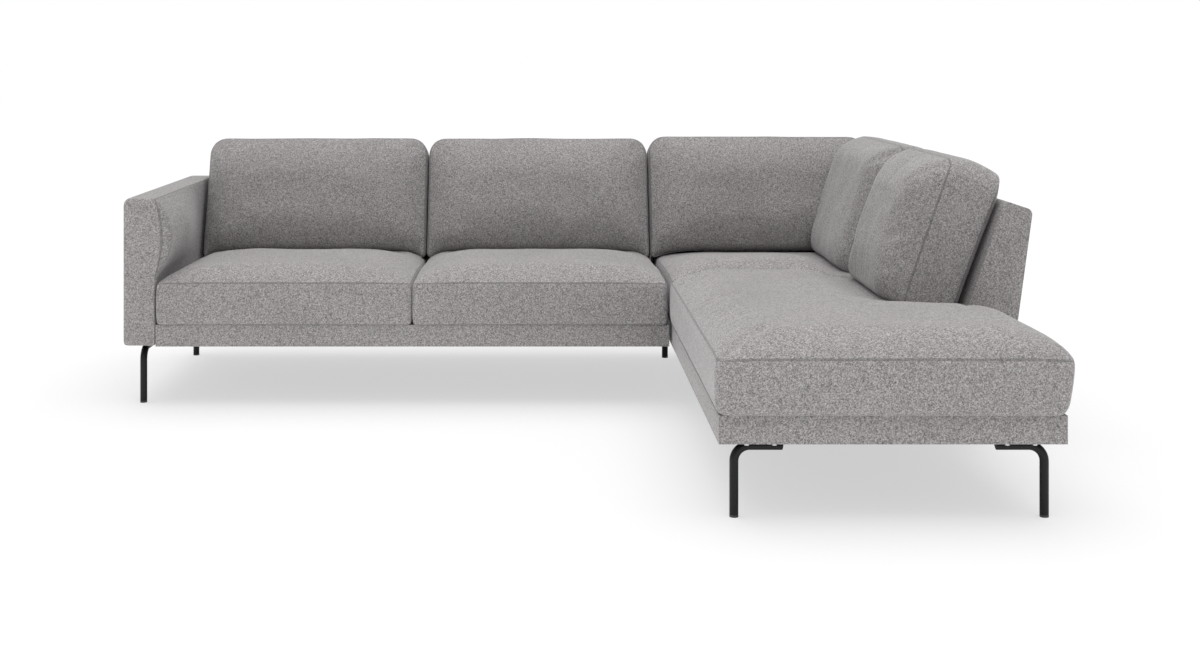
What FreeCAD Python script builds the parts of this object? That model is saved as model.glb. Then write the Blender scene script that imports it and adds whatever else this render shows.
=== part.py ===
import FreeCAD, Part
import math
import os

# Corner sofa with a chaise end, in two sections that hook together.
# Millimetres. X runs to the right, Y to the back and Z up, seen by someone facing the seats.
# The origin is the middle of the sofa's footprint, on the floor.

# Overall size
overall_width = 2854.0
overall_length = 2290.0
section_gap = 10.0

# Seat base
leg_height = 200.0
base_height = 72.0
seat_depth = 773.0
base_skin = 4.0
rail_thickness = 25.0
cross_rail_drop = 22.0
cross_rail_pitch = 440.0
bottom_cloth_thickness = 1.5
chaise_width = 874.0
chaise_open_length = 694.0

# Backs
back_lean = 19.0
back_rise = 470.0
back_overhang = 62.5
back_foot = 112.5
back_flare = 70.0
back_top_drop = 28.0
back_edge_radius = 20.0
back_skin = 6.0
back_board = 22.0
back_rail_height = 70.0
back_rib_pitch = 520.0
webbing_thickness = 2.0
webbing_width = 60.0
webbing_pitch = 95.0

# Arm
arm_thickness = 110.0
arm_height = 695.0
arm_corner_radius = 22.0
arm_skin = 8.0
arm_board = 25.0
arm_pad = 49.0
arm_pad_rear = 13.0
arm_pad_bottom = 165.0
arm_pad_margin = 8.0

# Seat cushions
seat_side_height = 140.5
seat_crown = 44.0
chaise_crown = 50.0
seat_overhang = 8.0
seat_end_margin = 6.0
seat_corner_radius = 30.0
seat_crown_reach = 150.0
seat_tuck = 5.0
seat_swell = 2.0
seat_draw = 3.0
seat_rear_margin = 8.0
chaise_nose = 20.0
chaise_side_overhang = 24.0
chaise_step_gap = 5.0
chaise_step_radius = 55.0
chaise_notch_radius = 12.0
corner_split = 21.0

# Back cushions
cushion_foot_height = 160.0
cushion_arm_gap = 15.0
cushion_end_gap = 9.0
cushion_gap = 8.0
cushion_height = 556.0
side_cushion_height = 566.0
side_cushion_width = 576.0
side_cushion_setback = 30.0
cushion_side = 145.0
cushion_rear_crown = 20.0
cushion_front_crown = 50.0
side_cushion_rear_crown = 30.0
side_cushion_front_crown = 65.0
cushion_corner_radius = 60.0
cushion_reach = 150.0
cushion_rear_reach = 110.0
cushion_draw = 5.0
cushion_swell = 3.0
cushion_hidden = 150.0
cover_thickness = 2.5

# Legs
tube_diameter = 23.0
tube_wall = 2.0
bend_radius = 40.0
leg_reach = 127.0
leg_slant = 5.0
leg_plate_thickness = 8.0
leg_plate_width = 50.0
leg_plate_back = 6.0
leg_weld_depth = 1.0
glide_height = 6.0
glide_plug = 18.0
arm_leg_inset = 55.0
front_leg_inset = 63.0
rear_leg_inset = 92.5
corner_leg_inset = 46.0
corner_leg_rear_inset = 140.5
chaise_leg_side_inset = 38.0
bolt_diameter = 8.0
bolt_length = 46.0
bolt_head_height = 5.0
bolt_head_diameter = 13.0
bolt_first = 30.0
bolt_spacing = 70.0
bolt_across = 36.0
leg_block_height = 42.0

# Springs of the seat
spring_wire = 4.0
spring_pitch = 150.0
spring_bend = 16.0
spring_run = 26.0
spring_lead = 42.0
clip_length = 16.0
clip_width = 14.0
clip_height = 7.0

# Connectors between the sections
plate_thickness = 2.5
strap_thickness = 2.0
connector_width = 60.0
connector_height = 56.0
connector_lift = 8.0
connector_front = 110.0
connector_rear = 120.0
screw_diameter = 4.0
screw_length = 22.0
screw_head_diameter = 7.5
screw_head_height = 1.8

# Clearances
fit = 0.3
soft_gap = 0.5
core_gap = 0.6
hole_clearance = 0.2

# Derived heights and depths
deck = leg_height + base_height
base_depth = seat_depth + back_overhang
section_depth = base_depth + back_foot
full_depth = section_depth + back_flare
lean = math.radians(back_lean)
back_top = deck + back_rise
cushion_foot = deck + cushion_foot_height
seam_height = deck + seat_side_height

# Derived places
left_x = -overall_width / 2
right_x = overall_width / 2
rear_y = overall_length / 2
front_y = rear_y - full_depth
chaise_x = right_x - full_depth
section_x = chaise_x - section_gap
arm_x = left_x + arm_thickness
chaise_y = -overall_length / 2 + chaise_nose
side_back_y = chaise_y + chaise_open_length
split_y = front_y + corner_split
far = overall_width + overall_length
crown_steps = 3


def at(x, y, z=0.0):
    return FreeCAD.Vector(x, y, z)


def block(x0, x1, y0, y1, z0, z1):
    return Part.makeBox(x1 - x0, y1 - y0, z1 - z0, at(x0, y0, z0))


def placed(shape, move, axis=None, angle=0.0):
    rotation = FreeCAD.Rotation(axis or at(0, 0, 1), angle)
    copy = shape.copy()
    copy.Placement = FreeCAD.Placement(move, rotation).multiply(copy.Placement)
    return copy


def fused(shapes):
    return shapes[0].multiFuse(shapes[1:]).removeSplitter()


def save(name, shape):
    solids = shape.Solids
    if not solids or not shape.isValid():
        raise ValueError(name + " is not a valid solid")
    result = solids[0] if len(solids) == 1 else Part.makeCompound(solids)
    result.exportStep("parts/" + name + ".step")
    print(name, len(solids), "solids", round(sum(s.Volume for s in solids) / 1000.0), "cm3")


# Outlines: corners run anticlockwise

def side_normal(start, end):
    """Unit normal of a side, pointing into the outline."""
    along = end.sub(start).normalize()
    return at(-along.y, along.x)


def inset_corners(corners, insets):
    """The corners after each side moves inwards by its own inset."""
    moved = []
    for i, here in enumerate(corners):
        first = side_normal(corners[i - 1], here)
        second = side_normal(here, corners[(i + 1) % len(corners)])
        first_reach = first.dot(here) + insets[i - 1]
        second_reach = second.dot(here) + insets[i]
        turn = first.x * second.y - first.y * second.x
        moved.append(at((first_reach * second.y - second_reach * first.y) / turn,
                        (first.x * second_reach - second.x * first_reach) / turn))
    return moved


def corner_arc(before, here, after, radius):
    """Start, middle and end of the arc that rounds one corner."""
    into = here.sub(before).normalize()
    out = after.sub(here).normalize()
    turn = math.acos(max(-1.0, min(1.0, into.dot(out))))
    run = radius * math.tan(turn / 2)
    start = here.sub(into * run)
    end = here.add(out * run)
    middle = (start + end) * 0.5
    toward = here.sub(middle).normalize()
    depth = radius * (1.0 - math.cos(turn / 2))
    return start, middle.add(toward * depth), end


def outline(corners, radii, bow=0.0):
    """A closed wire with rounded corners, whose sides bow outwards by bow."""
    count = len(corners)
    arcs = []
    for i in range(count):
        if radii[i] > 0:
            arcs.append(corner_arc(corners[i - 1], corners[i], corners[(i + 1) % count], radii[i]))
        else:
            arcs.append((corners[i], None, corners[i]))
    edges = []
    for i in range(count):
        start, middle, end = arcs[i]
        if middle is not None:
            edges.append(Part.Arc(start, middle, end).toShape())
        following = arcs[(i + 1) % count][0]
        if bow:
            inward = side_normal(end, following)
            centre = (end + following) * 0.5
            edges.append(Part.Arc(end, centre.sub(inward * bow), following).toShape())
        else:
            edges.append(Part.LineSegment(end, following).toShape())
    return Part.Wire(edges)


# Soft forms: a cushion is a drawn-in side wall with a crown on it

def crown_layers(level, rise, inset, reach):
    """Level and inset of each section of a crown that rises from a seam."""
    layers = []
    for step in range(crown_steps + 1):
        part = step / crown_steps
        layers.append((level + rise * (1.0 - (1.0 - part) ** 2.2), inset + reach * part))
    return layers


def soft_form(corners, radii, stacks, bow, growth):
    """A closed form: smooth lofts through the sections of each stack, sewn at the seams."""
    faces, ends = [], []
    for stack in stacks:
        wires = []
        for level, inset in stack:
            section = inset_corners(corners, [inset] * len(corners))
            rounding = [radius + growth * max(inset, 0.0) for radius in radii]
            wires.append(placed(outline(section, rounding, bow), at(0, 0, level)))
        faces += Part.makeLoft(wires, False, False).Faces
        ends += [wires[0], wires[-1]]
    shell = Part.makeShell(faces + [Part.Face(ends[0]), Part.Face(ends[-1])])
    shell.sewShape()
    return outward(Part.makeSolid(shell))


def outward(solid):
    """The solid with its skin facing outwards."""
    return solid if solid.Volume > 0 else solid.reversed()


def hollowed(outer, inner):
    """A skin: the outer form with the inner one as a closed void in it."""
    void = outward(inner.Solids[0]).Shells[0].reversed()
    return Part.makeSolid(Part.makeCompound([outward(outer.Solids[0]).Shells[0], void]))


# Rows of the back: along the row, then u from the section's front face, then height

def rear_row(shape):
    return placed(shape, at(0, front_y, 0))


def side_row(shape):
    return placed(shape, at(chaise_x, 0, 0), at(0, 0, 1), -90.0)


def row_prism(points, start, end, radii=None):
    """A solid along the row with a section of (u, height) points."""
    corners = [at(u, z) for u, z in points]
    flat = Part.Face(outline(corners, radii or [0.0] * len(corners)))
    upright = FreeCAD.Rotation(at(1, 1, 1), 120.0)
    flat.Placement = FreeCAD.Placement(at(start, 0, 0), upright)
    return flat.extrude(at(end - start, 0, 0))


def lean_u(stand_off, height):
    """Depth of the plane that stands in front of the back's inner face by stand_off."""
    return seat_depth + (height - deck) * math.tan(lean) - stand_off / math.cos(lean)


outer_slope = back_flare / (back_top - back_top_drop - leg_height)


def outer_u(inset, height):
    """Depth of the plane inside the back's outer face by inset."""
    return section_depth + (height - leg_height) * outer_slope - inset * math.hypot(1.0, outer_slope)


def back_points(insets):
    """Section of the back, moved inwards by an inset for each side."""
    corners = [
        at(base_depth + fit, leg_height),
        at(section_depth, leg_height),
        at(full_depth, back_top - back_top_drop),
        at(lean_u(0.0, back_top), back_top),
        at(lean_u(0.0, deck + fit), deck + fit),
        at(base_depth + fit, deck + fit),
    ]
    return [(c.x, c.y) for c in inset_corners(corners, insets)]


def back_body(start, end, inset, face_inset):
    """Full section of the back along the row, with its top edges rounded."""
    insets = [inset, inset, inset, face_inset, inset, inset]
    edge = max(back_edge_radius - inset, 1.0)
    radii = [0.0, 0.0, edge, edge, 0.0, 0.0]
    return row_prism(back_points(insets), start + inset, end - inset, radii)


def corner_keep(inset):
    """Everything on the inner side of the side back's outer face and top."""
    low = leg_height - base_height
    top_outer, top_inner = back_points([inset] * 6)[2:4]
    points = [(-far, low), (outer_u(inset, low), low), top_outer, top_inner, (-far, top_inner[1])]
    radii = [0.0, 0.0, max(back_edge_radius - inset, 1.0), 0.0, 0.0]
    return side_row(row_prism(points, -far, far, radii))


def rear_envelope(grow):
    """What the rear back takes up, grown by grow, for the side back to stop at."""
    high = back_top + base_height
    below = deck + fit - grow
    points = [(base_depth + fit - grow, leg_height - base_height), (far, leg_height - base_height),
              (far, high), (lean_u(grow, high), high), (lean_u(grow, below), below),
              (base_depth + fit - grow, below)]
    return rear_row(row_prism(points, -far, far))


def back_frame_boards(start, end, inset, face_inset):
    """Ribs, and hollow rails at the foot and the top, as one glued frame."""
    body = back_body(start, end, inset, face_inset)
    thick = inset + back_board
    hollow = row_prism(back_points([thick, thick, thick, face_inset + back_board, thick, thick]),
                       start, end)
    low = leg_height + inset
    slabs = [block(start, end, 0, far, low, deck + back_rail_height),
             block(start, end, 0, far, back_top - back_rail_height - inset, back_top)]
    pieces = [body.cut(hollow).common(slab) for slab in slabs]
    span = end - start - 2 * inset - back_board
    bays = max(1, round(span / back_rib_pitch))
    for i in range(bays + 1):
        rib_start = start + inset + span * i / bays
        pieces.append(body.common(block(rib_start, rib_start + back_board, 0, far, 0, far)))
    return fused(pieces)


def back_webbing(start, end):
    """Straps up the inner face of the frame, under the cover."""
    near = -(back_skin + fit)
    away = near - webbing_thickness
    low = deck + 2 * fit + back_skin
    high = back_top - back_skin - fit - back_edge_radius
    points = [(lean_u(near, low), low), (lean_u(away, low), low),
              (lean_u(away, high), high), (lean_u(near, high), high)]
    margin = back_skin + back_board
    count = max(1, int((end - start - 2 * margin - webbing_width) / webbing_pitch))
    first = (start + end - count * webbing_pitch - webbing_width) / 2
    straps = []
    for i in range(count + 1):
        edge = first + i * webbing_pitch
        straps.append(row_prism(points, edge, edge + webbing_width))
    return straps


frame_inset = back_skin + fit
frame_face_inset = back_skin + webbing_thickness + 2 * fit


def left_back():
    """Back of the left section: cover, frame and webbing."""
    start = arm_x + fit
    cover = back_body(start, section_x, 0.0, 0.0).cut(
        back_body(start, section_x, back_skin, back_skin))
    frame = back_frame_boards(start, section_x, frame_inset, frame_face_inset)
    save("left_back_cover", rear_row(cover))
    save("left_back_frame", rear_row(frame))
    save("left_back_webbing", rear_row(Part.makeCompound(back_webbing(start, section_x))))


def corner_back():
    """Rear back of the corner section, which runs on to the side back's outer face."""
    end = right_x + back_flare
    outer = rear_row(back_body(chaise_x, end, 0.0, 0.0)).common(corner_keep(0.0))
    hollow = rear_row(back_body(chaise_x, end, back_skin, back_skin)).common(corner_keep(back_skin))
    save("corner_back_cover", outer.cut(hollow))
    keep = corner_keep(frame_inset)
    boards = rear_row(back_frame_boards(chaise_x, end, frame_inset, frame_face_inset)).common(keep)
    closing = rear_row(back_body(chaise_x, end, frame_inset, frame_face_inset)).common(keep)
    closing = closing.cut(corner_keep(frame_inset + back_board))
    save("corner_back_frame", fused([boards, closing]))
    straps = Part.makeCompound(back_webbing(chaise_x, chaise_x + seat_depth))
    save("corner_back_webbing", rear_row(straps))


def side_back():
    """Back of the side, from its free end to the rear back's inner face."""
    start = -rear_y
    end = -side_back_y
    outer = side_row(back_body(start, end, 0.0, 0.0)).cut(rear_envelope(fit))
    hollow = side_row(back_body(start, end, back_skin, back_skin))
    hollow = hollow.cut(rear_envelope(fit + back_skin))
    save("side_back_cover", outer.cut(hollow))
    limit = rear_envelope(2 * fit + back_skin)
    boards = side_row(back_frame_boards(start, end, frame_inset, frame_face_inset)).cut(limit)
    closing = side_row(back_body(start, end, frame_inset, frame_face_inset)).cut(limit)
    closing = closing.common(rear_envelope(2 * fit + back_skin + back_board))
    save("side_back_frame", fused([boards, closing]))
    strap_start = -(front_y + seat_depth - webbing_width)
    save("side_back_webbing", side_row(Part.makeCompound(back_webbing(strap_start, end))))


# Seat base

rail_low = leg_height + bottom_cloth_thickness + fit
rail_top = deck - base_skin - 2 * fit - clip_height


def leg_places():
    """Each leg: name, place of its foot and the heading of its arm in degrees."""
    rear_leg_y = front_y + section_depth - rear_leg_inset
    corner_leg_y = front_y + section_depth - corner_leg_rear_inset
    arm_leg_x = left_x + arm_leg_inset
    near_x = chaise_x + corner_leg_inset
    away_x = chaise_x + chaise_width - chaise_leg_side_inset
    corner_away_x = chaise_x + base_depth - chaise_leg_side_inset
    chaise_leg_y = chaise_y + front_leg_inset
    return [
        ("arm_front_leg", arm_leg_x, front_y + front_leg_inset, 90.0),
        ("arm_rear_leg", arm_leg_x, rear_leg_y, -90.0),
        ("corner_inner_leg", near_x, corner_leg_y, 0.0),
        ("corner_outer_leg", corner_away_x, corner_leg_y, 180.0),
        ("chaise_left_leg", near_x, chaise_leg_y, 0.0),
        ("chaise_right_leg", away_x, chaise_leg_y, 180.0),
    ]


def at_leg(shape, place):
    name, x, y, heading = place
    return placed(shape, at(x, y, 0), at(0, 0, 1), heading)


def bolt_spots():
    """Bolt centres of a leg, in the leg's own frame."""
    return [(bolt_first + i * bolt_spacing, side * bolt_across / 2)
            for i in range(2) for side in (-1, 1)]


def bolt_holes(clearance):
    """Rods to cut the bolts' holes with, for all the legs."""
    radius = bolt_diameter / 2 + clearance
    rods = [Part.makeCylinder(radius, bolt_length + base_height, at(x, y, leg_height - base_height))
            for x, y in bolt_spots()]
    return Part.makeCompound([at_leg(rod, place) for place in leg_places() for rod in rods])


def leg_blocks(places):
    """Timber blocks that take the leg bolts and reach the rails beside them."""
    half = leg_plate_width / 2
    side = max(front_leg_inset, half)
    form = block(bolt_first - half, bolt_first + bolt_spacing + half, -side, side,
                 rail_low, rail_low + leg_block_height)
    return [at_leg(form, place) for place in places]


def rails(x0, x1, y0, y1, along_y):
    """Four rails on edge, and lower cross rails that run the way of the springs."""
    outer = block(x0, x1, y0, y1, rail_low, rail_top)
    inner = block(x0 + rail_thickness, x1 - rail_thickness,
                  y0 + rail_thickness, y1 - rail_thickness, 0, far)
    pieces = [outer.cut(inner)]
    start, end = (x0, x1) if along_y else (y0, y1)
    bays = max(1, round((end - start) / cross_rail_pitch))
    for i in range(1, bays):
        middle = start + (end - start) * i / bays
        low, high = middle - rail_thickness / 2, middle + rail_thickness / 2
        top = rail_top - cross_rail_drop
        if along_y:
            pieces.append(block(low, high, y0, y1, rail_low, top))
        else:
            pieces.append(block(x0, x1, low, high, rail_low, top))
    return pieces


def zigzag_wire(length):
    """A flat serpentine spring that runs along X from 0 to length, centred on Y."""
    turn = 2 * spring_bend
    count = int((length - 2 * spring_lead) / turn)
    lead = (length - count * turn) / 2
    half = spring_run / 2
    bend = lead - spring_bend
    points = [at(0, 0), at(bend, 0)]
    edges = [Part.LineSegment(points[0], points[1]).toShape()]
    x = bend
    side = 1
    corner = spring_bend * math.sqrt(0.5)
    edges.append(Part.Arc(at(x, 0), at(x + corner, spring_bend - corner),
                          at(x + spring_bend, spring_bend)).toShape())
    x += spring_bend
    edges.append(Part.LineSegment(at(x, spring_bend), at(x, spring_bend + half)).toShape())
    for i in range(count):
        y = side * (spring_bend + half)
        top = at(x + spring_bend, y + side * spring_bend)
        edges.append(Part.Arc(at(x, y), top, at(x + turn, y)).toShape())
        x += turn
        if i < count - 1:
            edges.append(Part.LineSegment(at(x, y), at(x, -y)).toShape())
        else:
            edges.append(Part.LineSegment(at(x, y), at(x, side * spring_bend)).toShape())
        side = -side
    last = -side
    edges.append(Part.Arc(at(x, last * spring_bend),
                          at(x + spring_bend - corner, last * (spring_bend - corner)),
                          at(x + spring_bend, 0)).toShape())
    edges.append(Part.LineSegment(at(x + spring_bend, 0), at(length, 0)).toShape())
    return Part.Wire(edges)


def spring(length):
    path = zigzag_wire(length)
    ring = Part.Wire(Part.makeCircle(spring_wire / 2, at(0, 0, 0), at(1, 0, 0)))
    return path.makePipeShell([ring], True, False)


def spring_clip():
    """A clip block that holds the end of a spring on its rail, along X."""
    form = block(-clip_length / 2, clip_length / 2, -clip_width / 2, clip_width / 2,
                 -clip_height / 2, clip_height / 2)
    bore = Part.makeCylinder(spring_wire / 2 + hole_clearance, 2 * clip_length,
                             at(-clip_length, 0, 0), at(1, 0, 0))
    return form.cut(bore)


def spring_row(span_start, span_end, first, last, along_y):
    """Springs and clips at an even pitch between first and last."""
    height = rail_top + fit + clip_height / 2
    one = spring(span_end - span_start)
    clip = spring_clip()
    count = max(1, round((last - first) / spring_pitch))
    springs, clips = [], []
    seat = rail_thickness / 2
    for i in range(count):
        across = first + (last - first) * (i + 0.5) / count
        for form, shift, kept in ((one, 0.0, springs), (clip, seat, clips),
                                  (clip, span_end - span_start - seat, clips)):
            if along_y:
                kept.append(placed(form, at(across, span_start + shift, height), at(0, 0, 1), 90.0))
            else:
                kept.append(placed(form, at(span_start + shift, across, height)))
    return springs, clips


def left_base():
    """Base of the left section, between the arm and the section joint."""
    x0, x1 = arm_x + fit, section_x
    y0, y1 = front_y, front_y + base_depth
    skin = base_skin
    outer = block(x0, x1, y0, y1, leg_height, deck)
    hollow = block(x0 + skin, x1 - skin, y0 + skin, y1 - skin, leg_height - skin, deck - skin)
    save("left_base_cover", outer.cut(hollow).cut(connector_screw_rods()))
    inner = skin + fit
    cloth = block(x0 + inner, x1 - inner, y0 + inner, y1 - inner,
                  leg_height, leg_height + bottom_cloth_thickness)
    save("left_bottom_cloth", cloth)
    frame = fused(rails(x0 + inner, x1 - inner, y0 + inner, y1 - inner, True))
    save("left_base_frame", frame.cut(connector_screw_rods()))
    springs, clips = spring_row(y0 + inner, y1 - inner, x0 + inner + rail_thickness,
                                x1 - inner - rail_thickness, True)
    save("left_seat_springs", Part.makeCompound(springs))
    save("left_spring_clips", Part.makeCompound(clips))


def chaise_base_form(inset, low, high):
    """The corner section's base: wide in front of the side back, narrower beside it."""
    wide = block(chaise_x + inset, chaise_x + chaise_width - inset,
                 chaise_y + inset, side_back_y - fit - inset, low, high)
    narrow = block(chaise_x + inset, chaise_x + base_depth - inset,
                   chaise_y + inset, front_y + base_depth - inset, low, high)
    return fused([wide, narrow])


def chaise_base():
    """Base of the corner section, from the chaise's front to the rear back."""
    skin = base_skin
    outer = chaise_base_form(0.0, leg_height, deck)
    hollow = chaise_base_form(skin, leg_height - skin, deck - skin)
    save("chaise_base_cover", outer.cut(hollow).cut(connector_screw_rods()))
    inner = skin + fit
    holes = bolt_holes(hole_clearance)
    cloth = chaise_base_form(inner, leg_height, leg_height + bottom_cloth_thickness)
    save("chaise_bottom_cloth", cloth.cut(holes))
    x0, x1 = chaise_x + inner, chaise_x + base_depth - inner
    y0, y1 = chaise_y + inner, front_y + base_depth - inner
    side = chaise_x + chaise_width - inner
    wing = block(x1, side, y0, side_back_y - fit - inner, rail_low, rail_top - cross_rail_drop)
    boards = rails(x0, x1, y0, y1, False) + [wing]
    room = chaise_base_form(inner, rail_low, rail_top)
    frame = fused(boards + [piece.common(room) for piece in leg_blocks(leg_places()[2:])])
    save("chaise_base_frame", frame.cut(holes).cut(connector_screw_rods()))
    springs, clips = spring_row(x0, x1, y0 + rail_thickness, y1 - rail_thickness, False)
    save("chaise_seat_springs", Part.makeCompound(springs))
    save("chaise_spring_clips", Part.makeCompound(clips))


# Arm

def arm_form(inset):
    """The arm's box with its outer top edge rounded, moved inwards by inset."""
    corners = [at(left_x + inset, leg_height + inset), at(arm_x - inset, leg_height + inset),
               at(arm_x - inset, arm_height - inset), at(left_x + inset, arm_height - inset)]
    radii = [0.0, 0.0, 0.0, max(arm_corner_radius - inset, 1.0)]
    flat = Part.Face(outline(corners, radii))
    flat.Placement = FreeCAD.Placement(at(0, front_y + inset, 0), FreeCAD.Rotation(at(1, 0, 0), 90.0))
    return flat.extrude(at(0, section_depth - 2 * inset, 0))


def arm_padding():
    """Soft inner face of the arm: deepest in front of the back cushion, and gone at the back."""
    low, high = deck + arm_pad_bottom, arm_height - arm_pad_margin
    chord = arm_x - arm_skin / 2
    cushion_front = lean_u(cushion_rear_crown + cushion_side + cushion_front_crown, low)
    stops = [
        (arm_pad_margin, 0.15),
        (arm_pad_margin + cushion_front * 0.12, 0.75),
        (cushion_front * 0.35, 1.0),
        (cushion_front * 0.7, 0.8),
        (cushion_front, arm_pad_rear / arm_pad),
        (seat_depth, 0.0),
    ]
    wires = []
    for depth, share in stops:
        y = front_y + depth
        swell = arm_skin / 2 + arm_pad * share + fit
        start, end = at(chord, y, low), at(chord, y, high)
        middle = at(chord + swell, y, (low + high) / 2)
        wires.append(Part.Wire([Part.Arc(start, middle, end).toShape(),
                                Part.LineSegment(end, start).toShape()]))
    return Part.makeLoft(wires, True, True)


def arm():
    """Arm: padded cover round a timber frame."""
    holes = bolt_holes(hole_clearance)
    cover = fused([arm_form(0.0), arm_padding()]).cut(arm_form(arm_skin))
    save("arm_cover", cover.cut(holes))
    inner = arm_skin + fit
    full = arm_form(inner)
    y0, y1 = front_y + inner, front_y + section_depth - inner
    low, high = leg_height + inner, arm_height - inner
    middle = (y0 + y1) / 2
    bays = [(y0 + arm_board, middle - arm_board / 2), (middle + arm_board / 2, y1 - arm_board)]
    frame = full
    for start, end in bays:
        frame = frame.cut(block(left_x, arm_x, start, end, low + arm_board, high - arm_board))
    save("arm_frame", frame.cut(holes))


# Seat cushions

def seat_solid(corners, radii, crown, shrink, growth):
    """A seat cushion's form, made smaller all round by shrink."""
    low = deck + fit + shrink
    wall = [(low, seat_tuck + shrink), ((deck + seam_height) / 2, shrink - seat_swell),
            (seam_height, shrink)]
    top = crown_layers(seam_height, crown - shrink, shrink, seat_crown_reach)
    return soft_form(corners, radii, [wall, top], -seat_draw, growth)


def pressed_zone(reach, start, end, shrink):
    """Space above a seat that the foot of a row of back cushions takes, with a clearance."""
    low = cushion_foot - soft_gap - shrink
    high = deck + far
    front = reach + soft_gap + shrink
    points = [(lean_u(front, low), low), (far, low), (far, high), (lean_u(front, high), high)]
    return row_prism(points, start, end)


def rear_reach():
    return cushion_rear_crown + cushion_side + cushion_front_crown + soft_gap


def side_reach():
    return side_cushion_rear_crown + cushion_side + side_cushion_front_crown + soft_gap


def seat_cushion(name, corners, radii, crown, growth, zones):
    """Cover and foam core of one seat cushion."""
    def form(shrink):
        solid = seat_solid(corners, radii, crown, shrink, growth)
        for zone in zones(shrink):
            solid = solid.cut(zone)
        return solid

    save(name + "_cover", hollowed(form(0.0), form(cover_thickness)))
    save(name + "_foam", form(cover_thickness + core_gap))


def rectangle(x0, x1, y0, y1):
    return [at(x0, y0), at(x1, y0), at(x1, y1), at(x0, y1)]


def seat_cushions():
    """Two cushions on the left section, one in the corner and one on the chaise."""
    rear = front_y + seat_depth - seat_rear_margin
    half_gap = soft_gap + seat_swell
    start, end = arm_x + half_gap, section_x - seat_end_margin
    middle = (start + end) / 2
    nose = front_y - seat_overhang
    rounding = [seat_corner_radius] * 4

    def rear_zone(shrink):
        return [rear_row(pressed_zone(rear_reach(), -far, far, shrink))]

    def corner_zones(shrink):
        return rear_zone(shrink) + [side_row(pressed_zone(side_reach(), -far, far, shrink))]

    def chaise_zones(shrink):
        end_a = -(side_back_y + side_cushion_setback) + soft_gap + shrink
        return [side_row(pressed_zone(side_reach(), -far, end_a, shrink))]

    for name, x0, x1 in (("left_seat", start, middle - half_gap),
                         ("middle_seat", middle + half_gap, end)):
        seat_cushion(name, rectangle(x0, x1, nose, rear), rounding, seat_crown, 0.35, rear_zone)
    inner_side = chaise_x + seat_depth - seat_rear_margin
    corner = rectangle(chaise_x, inner_side, split_y + 2 * half_gap, rear)
    seat_cushion("corner_seat", corner, rounding, seat_crown, 0.35, corner_zones)

    left = chaise_x - seat_overhang
    right = chaise_x + chaise_width + chaise_side_overhang
    front = chaise_y - chaise_nose
    step = side_back_y - chaise_step_gap
    chaise = [at(left, front), at(right, front), at(right, step), at(inner_side, step),
              at(inner_side, split_y), at(left, split_y)]
    radii = [seat_corner_radius, seat_corner_radius, chaise_step_radius, chaise_notch_radius,
             seat_corner_radius, seat_corner_radius]
    seat_cushion("chaise_seat", chaise, radii, chaise_crown, 0.0, chaise_zones)


# Back cushions

def back_cushion_form(start, end, height, rear_crown, front_crown, shrink):
    """A back cushion in its row, leaning on the back, before its foot is cut flat."""
    corners = rectangle(start, end, -cushion_hidden, height)
    rear_seam = soft_gap + rear_crown
    front_seam = rear_seam + cushion_side
    front = crown_layers(front_seam, front_crown - shrink, shrink, cushion_reach)
    rear = crown_layers(rear_seam, shrink - rear_crown, shrink, cushion_rear_reach)
    wall = [(rear_seam, shrink), ((rear_seam + front_seam) / 2, shrink - cushion_swell),
            (front_seam, shrink)]
    form = soft_form(corners, [cushion_corner_radius] * 4, [rear[::-1], wall, front],
                     -cushion_draw, 0.25)
    leaning = placed(form, at(0, seat_depth, deck), at(1, 0, 0), 90.0 - back_lean)
    foot = block(-far, far, -far, far, -far, cushion_foot + shrink)
    return leaning.cut(foot)


def back_cushion(name, start, end, side, trim=None):
    """Cover and filling of one back cushion, in the rear row or the side row."""
    place = side_row if side else rear_row
    height = side_cushion_height if side else cushion_height
    rear_crown = side_cushion_rear_crown if side else cushion_rear_crown
    front_crown = side_cushion_front_crown if side else cushion_front_crown

    def form(shrink):
        solid = place(back_cushion_form(start, end, height, rear_crown, front_crown, shrink))
        return solid.cut(trim(shrink)) if trim else solid

    save(name + "_cover", hollowed(form(0.0), form(cover_thickness)))
    save(name + "_filling", form(cover_thickness + core_gap))


def rear_row_space(shrink):
    """All that lies behind the front of the rear row of cushions."""
    reach = rear_reach() + soft_gap + shrink
    low, high = leg_height, deck + far
    points = [(lean_u(reach, low), low), (far, low), (far, high), (lean_u(reach, high), high)]
    return rear_row(row_prism(points, -far, far))


def back_cushions():
    """Three equal cushions in the rear row, from the arm to the side back, and two along the side."""
    names = ["left_back_cushion", "middle_back_cushion", "corner_back_cushion"]
    first = arm_x + cushion_arm_gap
    last = chaise_x + lean_u(0.0, cushion_foot) - cushion_end_gap
    pitch = (last - first + cushion_gap) / len(names)
    for i, name in enumerate(names):
        start = first + i * pitch
        back_cushion(name, start, start + pitch - cushion_gap, False)
    near = -(side_back_y + side_cushion_setback)
    away = near - side_cushion_width
    back_cushion("front_side_cushion", away, near, True)
    rear_end = -(front_y + lean_u(rear_reach(), back_top + base_height) + cushion_corner_radius * 2)
    back_cushion("rear_side_cushion", rear_end, away - cushion_gap, True, rear_row_space)


# Legs

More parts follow.
